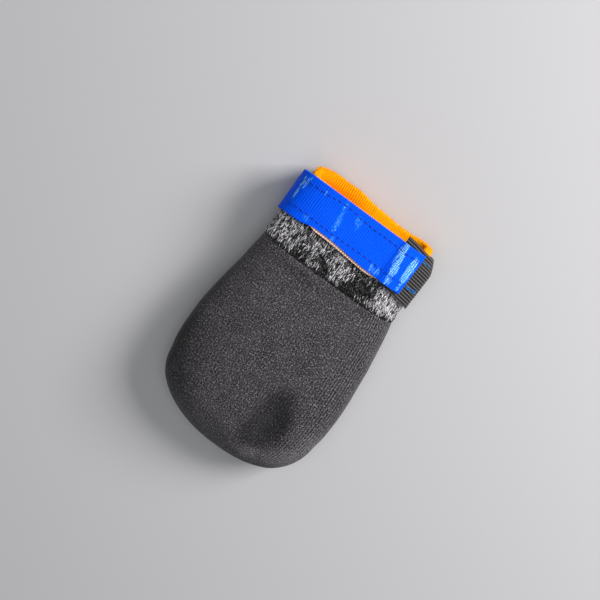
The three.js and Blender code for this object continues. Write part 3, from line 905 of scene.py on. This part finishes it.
def make_cuff():
    """The orange tape, swept round the collar from its outer cut edge over the fold to its inner one."""
    girth = girth_at(0.0)
    columns = 760
    shares = np.linspace(0, 1, columns + 1)[:-1]
    fold = GAP + CUFF
    turn = np.linspace(0, math.pi, FOLD_ROWS + 2)[1:-1]
    middle = (CUFF_OUT + CUFF_IN) / 2
    half = (CUFF_OUT - CUFF_IN) / 2
    edge = CUFF_OUTSIDE - EDGE_WIDE
    outer_downs = np.concatenate([np.linspace(CUFF_OUTSIDE, edge, 7), np.linspace(edge, 0, 25)[1:]])
    profile = [(d, CUFF_OUT) for d in outer_downs]
    profile += [(-fold * math.sin(t), middle + half * math.cos(t)) for t in turn]
    profile += [(d, CUFF_IN) for d in np.linspace(0, CUFF_INSIDE, INNER_ROWS)]
    profile += [(d, CUFF_IN + CUFF) for d in np.linspace(CUFF_INSIDE, 0, 6)]
    profile += [(-GAP, CUFF_IN + CUFF), (-GAP, CUFF_SEAT)]
    profile += [(d, CUFF_SEAT) for d in outer_downs[::-1]]
    ribbed = len(outer_downs) + FOLD_ROWS + INNER_ROWS
    u = (0.5 - shares) * girth
    shorter = 0.2 + tape_drawn(u) + 1.2 * (1 - ramp(u, EDGE_FROM, 6)) + ramp(u, EDGE_TO, 6)
    stand = EDGE_UP * ramp(u, EDGE_FROM, 4) * (1 - ramp(u, EDGE_TO - 2, 5))
    points, cloth = [], []
    run = 0.0
    for n, (down, outside) in enumerate(profile):
        if n:
            run += math.hypot(down - profile[n - 1][0], outside - profile[n - 1][1])
        slant = CUFF_SLANT * run
        ribs = CUFF_RIB_HIGH * np.sin((u + slant) * 2 * math.pi / CUFF_RIB) if n < ribbed else 0.0
        wave = 0.16 * cloth_noise(u, np.full(columns, down), 9.0, 21) if n < ribbed else 0.0
        sign = 1 if outside > middle else -1
        lean = stand * smooth((down - edge) / EDGE_WIDE) if outside > middle else 0.0
        row = on_last([down], shares, outside + sign * (ribs - 0.05) + wave * 0.4 + lean)[0]
        row[:, 1] += shorter * ramp(down, 12.0, CUFF_OUTSIDE - 12.0)
        points.append(row)
        cloth.append(np.stack([u + slant, np.full(columns, run)], -1))
    return ring_object("cuff_cloth", np.array(points), np.array(cloth), cuff_orange, True)


register(make_cuff(), "cuff_tape", "cuff_tape")


FUZZ_COUNT = 2600


def make_fuzz():
    """Short stray fibres on the cuff's fold."""
    rng = np.random.default_rng(8)
    girth = girth_at(0.0)
    middle, half = (CUFF_OUT + CUFF_IN) / 2, (CUFF_OUT - CUFF_IN) / 2
    share = rng.uniform(0, 1, FUZZ_COUNT)
    turn = rng.uniform(0.15, 2.9, FUZZ_COUNT)
    root = near_collar(-(GAP + CUFF) * np.sin(turn), share, middle + half * np.cos(turn))
    tip = near_collar(-(GAP + CUFF + 0.8) * np.sin(turn), share, middle + (half + 0.6) * np.cos(turn))
    ahead = tip - root + rng.normal(0, 0.35, (FUZZ_COUNT, 3))
    ahead *= rng.uniform(0.25, 0.75, (FUZZ_COUNT, 1)) / np.linalg.norm(ahead, axis=-1, keepdims=True)
    bend = rng.normal(0, 0.16, (FUZZ_COUNT, 3))
    paths = np.stack([root, root + ahead * 0.5 + bend * 0.5, root + ahead + bend], 1)
    cloth = np.repeat(np.stack([share * girth, 20 + turn], -1)[:, None], 3, 1)
    radii = np.broadcast_to(np.array([0.05, 0.04, 0.02]), (FUZZ_COUNT, 3))
    return tubes_object("cuff_fuzz", paths, radii, 3, cloth, cuff_orange)


# Strap pieces
def strap_line(table, width, round_):
    """The middle line of a strap piece, as its distance from the collar's cut edge."""
    places, downs = zip(*table)
    return width * from_table(places, downs, np.asarray(round_) / COLLAR_WIDTH)


def strap_place(down, round_, outs, lean):
    """Points over the strap's own form. Nearer the edge than lean, they turn to the collar's form."""
    shares = 0.5 - round_ / girth_at(STRAP_FORM)
    points = near_collar(STRAP_FORM, shares, outs)
    if lean:
        near_edge = np.maximum(down, 0)
        weight = np.clip(1 - near_edge / lean, 0, 1)[..., None]
        points = points * (1 - weight) + near_collar(near_edge, shares, outs) * weight
    points[..., 1] = LENGTH - down
    return points


def strap_points(rounds, offsets, outs, table, width, lean):
    """Points of a strap piece and their distance down. rounds has a value per column."""
    down = strap_line(table, width, rounds)[None] + offsets
    return strap_place(down, rounds[None], outs, lean), down


# Rows of a flat band's rounded edge, and about as many of its under side
BAND_EDGE_ROWS = 5
BAND_UNDER_ROWS = 24


def band_profile(width, thick, across):
    """A flat band's cross-section with rounded edges: offsets and heights over its seat, once round, and
    the number of its points on top."""
    flat, r = (width - thick) / 2, thick / 2
    turn = np.linspace(math.pi / 2, -math.pi / 2, BAND_EDGE_ROWS + 2)[1:-1]
    bulge, rise = r * np.cos(turn), r + r * np.sin(turn)
    top = np.linspace(-flat, flat, across)
    under = top[::-1][:: max(1, across // BAND_UNDER_ROWS)]
    offset = np.concatenate([top, flat + bulge, under, -flat - bulge[::-1]])
    height = np.concatenate([np.full(across, thick), rise, np.zeros(len(under)), rise[::-1]])
    return offset, height, across


def make_elastic():
    """The elastic, with ribs along it and picks across them, from the back to its end under the tape."""
    rounds = np.linspace(ELASTIC_BACK, ELASTIC_FRONT, 200)
    offset, height, on_top = band_profile(ELASTIC_WIDTH, ELASTIC, 130)
    ribs = ELASTIC_RIB_HIGH * np.sin(offset * 2 * math.pi / ELASTIC_RIB)[:, None]
    swap = np.sign(np.sin(offset * math.pi / ELASTIC_RIB))[:, None]
    picks = ELASTIC_PICK_HIGH * np.sin(rounds * 2 * math.pi / ELASTIC_PICK)[None] * swap
    relief = np.where((np.arange(len(offset)) < on_top)[:, None], ribs + picks - 0.08, 0.0)
    wave = 0.12 * cloth_noise(rounds[None], offset[:, None], 8.0, 31)
    outs = STRAP_SEAT + height[:, None] + relief + 0.5 * np.abs(wave)
    offsets = np.broadcast_to(offset[:, None], outs.shape)
    cloth = np.stack([np.broadcast_to(rounds[None], outs.shape), offsets], -1)
    wander = 0.1 * np.sin(rounds * 0.7)[None]
    points, _ = strap_points(rounds, offsets + wander, outs, ELASTIC_LINE, ELASTIC_WIDTH, ELASTIC_LEAN)
    return ring_object("elastic_cloth", points, cloth, elastic_black, False)


register(make_elastic(), "elastic_webbing", "strap_elastic")


def tape_seat(rounds):
    """The hook tape's seat, which climbs from the cuff on to the elastic's end."""
    return STRAP_SEAT + (ELASTIC + GAP) * ramp(rounds, ELASTIC_FRONT - GAP - TAPE_CLIMB, TAPE_CLIMB)


def make_tape():
    """The hook tape with ribs across it and toothed edges."""
    rounds = np.linspace(TAPE_RIGHT, TAPE_BACK, 560)
    offset, height, on_top = band_profile(TAPE_WIDTH, TAPE, 34)
    rib = np.sin(rounds * 2 * math.pi / TAPE_RIB)[None]
    relief = np.where((np.arange(len(offset)) < on_top)[:, None], TAPE_RIB_HIGH * rib - 0.06, 0.0)
    wave = 0.22 * cloth_noise(rounds[None], offset[:, None], 11.0, 51)
    outs = tape_seat(rounds)[None] + height[:, None] + relief + 0.6 * np.abs(wave)
    offset = offset[:, None]
    teeth = TAPE_TOOTH * rib * np.sign(offset) * (np.abs(offset) > TAPE_WIDTH / 2 - 1.5)
    drawn = tape_drawn(rounds)[None] * np.clip(2 * offset / TAPE_WIDTH, 0, 1) ** 2
    points, down = strap_points(rounds, offset - drawn + teeth, outs, TAPE_LINE, TAPE_WIDTH, 0.0)
    cloth = np.stack([np.broadcast_to(rounds[None], outs.shape), down], -1)
    return ring_object("hook_tape_cloth", points, cloth, hook_blue, False)


register(make_tape(), "hook_tape", "strap_hook_tape")


# Threads of the strap's stitch rows
def make_stitches(name, runs, material, radius, lean):
    """A thread for each run: round and down at its one end, round and down at the other, and the cloth's
    own distance outside the last. Each stitch dips into the cloth at both ends."""
    runs = np.array(runs, float)[:, :, None]
    thickness = radius * np.array([0.6, 0.9, 1, 1, 1, 0.9, 0.6])
    steps = np.linspace(0, 1, len(thickness))[None]
    rounds = runs[:, 0] + (runs[:, 2] - runs[:, 0]) * steps
    downs = runs[:, 1] + (runs[:, 3] - runs[:, 1]) * steps
    outs = runs[:, 4] - 0.12 + 0.3 * np.sin(steps * math.pi) ** 0.6
    points = strap_place(downs, rounds, outs, lean)
    radii = np.broadcast_to(thickness, rounds.shape)
    return tubes_object(name, points, radii, 6, np.stack([rounds, downs], -1), material)


# Stitch rows along the hook tape: distance from its upper edge, start, end, and the height of its bow
TAPE_ROWS = ((3.5, -31.8, 26.2, 1.1), (15.4, -31.8, 26.4, -0.4))
STITCH_LENGTH = 2.3
STITCH_GAP = 0.45
BOW_MIDDLE = -12.0
BOW_WIDE = 8.0
# The short row across the tape: its place round, and where its stitches start, end and repeat
CROSS_ROUND = -31.8
CROSS_START = 5.0
CROSS_END = 15.6
CROSS_LENGTH = 2.2
CROSS_PITCH = 2.6


def tape_top(round_):
    return float(tape_seat(round_) + TAPE + 0.05)


def tape_stitches():
    """Ends and heights of the stitches on the hook tape, each a little uneven."""
    rng = np.random.default_rng(5)
    runs = []
    for depth, start, stop, bow in TAPE_ROWS:
        place = start
        while place < stop - 1:
            length = STITCH_LENGTH + rng.normal(0, 0.12)
            end = min(place + length, stop)
            edge = float(strap_line(TAPE_LINE, TAPE_WIDTH, place)) - TAPE_WIDTH / 2
            lift = bow * math.exp(-(((place - BOW_MIDDLE) / BOW_WIDE) ** 2))
            first = edge + depth - lift + rng.normal(0, 0.1)
            second = edge + depth - lift + rng.normal(0, 0.1)
            runs.append((place, first, end, second, tape_top((place + end) / 2)))
            place = end + STITCH_GAP
    for down in np.arange(CROSS_START, CROSS_END, CROSS_PITCH):
        runs.append((CROSS_ROUND - 0.1, down, CROSS_ROUND, down + CROSS_LENGTH, tape_top(CROSS_ROUND)))
    return runs


stitches = make_stitches("tape_stitches", tape_stitches(), navy_thread, 0.15, 0.0)
register(stitches, "hook_tape")

# The same rows go on over the elastic in a brighter thread: round and down at both ends
ELASTIC_STITCHES = (
    (28.6, 3.3, 31.0, 3.5),
    (31.4, 3.5, 33.4, 3.9),
    (27.6, 15.7, 30.2, 15.8),
    (30.6, 15.8, 33.0, 16.1),
    (28.4, 16.5, 31.0, 16.6),
    (31.2, 16.7, 33.4, 17.0),
)
over_elastic = [row + (STRAP_SEAT + ELASTIC + 0.08,) for row in ELASTIC_STITCHES]
stitches = make_stitches("elastic_stitches", over_elastic, blue_thread, 0.27, ELASTIC_LEAN)
register(stitches, "elastic_webbing")

register(make_loops(), "loop_pile")
register(make_fuzz(), "cuff_tape")


# Floor, lights and camera
def make_floor():
    """A plain pale floor, six metres square."""
    half = 3.0
    corners = [(-half, -half, 0), (half, -half, 0), (half, half, 0), (-half, half, 0)]
    mesh = bpy.data.meshes.new("floor")
    mesh.from_pydata(corners, [], [(0, 1, 2, 3)])
    floor = bpy.data.objects.new("floor", mesh)
    bpy.context.scene.collection.objects.link(floor)
    material = bpy.data.materials.new("floor_pale")
    material.use_nodes = True
    shader = material.node_tree.nodes["Principled BSDF"]
    shader.inputs["Base Color"].default_value = linear(190, 190, 192)
    shader.inputs["Roughness"].default_value = 0.9
    mesh.materials.append(material)


make_floor()


def make_light(name, energy, size, place, target, colour):
    """A square soft light, in watts and metres."""
    data = bpy.data.lights.new(name, "AREA")
    data.energy = energy
    data.size = size
    data.color = colour
    light = bpy.data.objects.new(name, data)
    light.location = place
    light.rotation_mode = "QUATERNION"
    light.rotation_quaternion = (Vector(target) - Vector(place)).to_track_quat("-Z", "Y")
    bpy.context.scene.collection.objects.link(light)


make_light("key", 12.8, 0.42, (0.52, 0.66, 0.5), (0, 0, 0.01), (1.0, 0.98, 0.97))
make_light("overhead", 5.2, 1.0, (0.05, 0.1, 1.2), (0, 0, 0), (0.98, 0.99, 1.0))

world = bpy.data.worlds.new("studio")
world.use_nodes = True
background = world.node_tree.nodes["Background"]
background.inputs["Color"].default_value = (0.9, 0.92, 0.95, 1)
background.inputs["Strength"].default_value = 0.16
bpy.context.scene.world = world
bpy.context.scene.view_settings.view_transform = "Standard"

# The camera's place, fitted to the boot's outline: angles in degrees
CAMERA_ELEVATION = 75.77
CAMERA_AZIMUTH = -4.50
CAMERA_ROLL = 211.77
CAMERA_DISTANCE = 619.9
CAMERA_TARGET = (-4.74, 11.92, 13.0)
CAMERA_LENS = 85.0
CAMERA_SENSOR = 36.0


def make_camera():
    elevation, azimuth, roll = (math.radians(v) for v in (CAMERA_ELEVATION, CAMERA_AZIMUTH, CAMERA_ROLL))
    level = math.cos(elevation)
    back = Vector((level * math.sin(azimuth), level * math.cos(azimuth), math.sin(elevation)))
    right = (-back).cross(Vector((0, 0, 1))).normalized()
    up = right.cross(-back)
    turned_right = right * math.cos(roll) + up * math.sin(roll)
    turned_up = -right * math.sin(roll) + up * math.cos(roll)
    data = bpy.data.cameras.new("camera")
    data.lens = CAMERA_LENS
    data.sensor_width = CAMERA_SENSOR
    data.clip_start = 0.01
    data.clip_end = 10.0
    camera = bpy.data.objects.new("camera", data)
    camera.rotation_mode = "QUATERNION"
    camera.rotation_quaternion = Matrix((turned_right, turned_up, back)).transposed().to_quaternion()
    camera.location = Vector(CAMERA_TARGET) * MM + back * CAMERA_DISTANCE * MM
    bpy.context.scene.collection.objects.link(camera)
    bpy.context.scene.camera = camera


make_camera()
